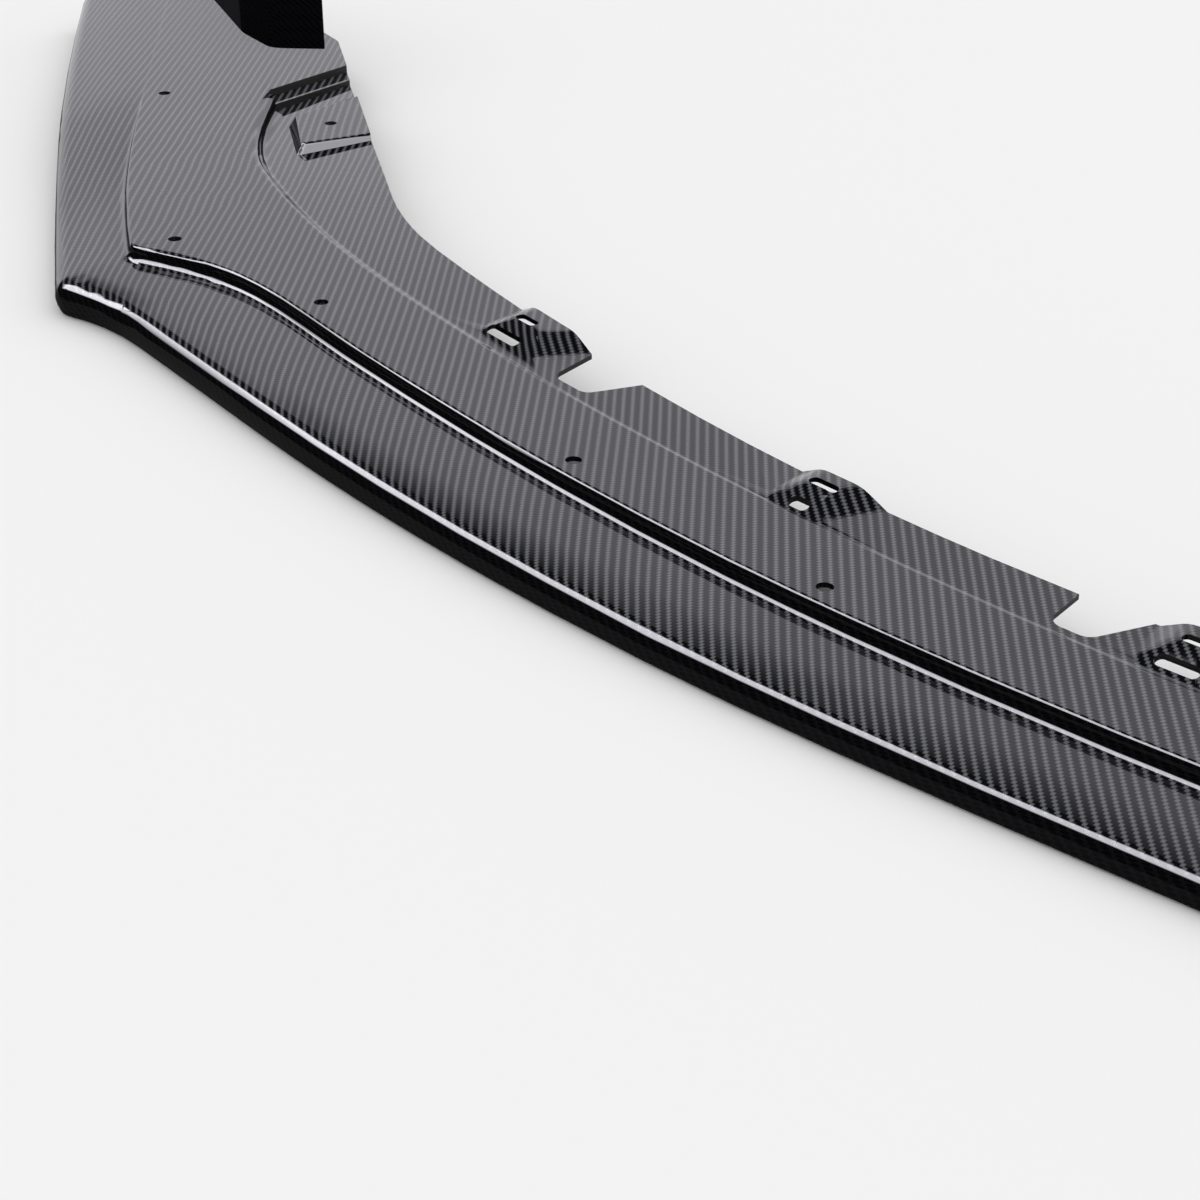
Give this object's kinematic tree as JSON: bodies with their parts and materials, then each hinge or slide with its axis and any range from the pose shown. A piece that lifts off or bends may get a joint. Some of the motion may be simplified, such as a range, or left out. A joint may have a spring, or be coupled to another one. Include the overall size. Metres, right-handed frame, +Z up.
{
  "type": "front splitter lip",
  "caption": "Carbon fibre splitter lip that wraps under a car's front bumper, with a stepped blade, slotted tabs and screw holes.",
  "frame": {"origin": "middle of the lip's outline, on the floor it rests on", "axes": "+X across the car towards the side returns, -Y forward through the nose, +Z up"},
  "size_m": [1.9102, 0.4343, 0.0685],
  "materials": {
    "carbon_laminate": "clear-coated twill carbon fibre, glossy"
  },
  "bodies": {
    "root": {"front_splitter_lip": "carbon_laminate"}
  },
  "joints": []
}
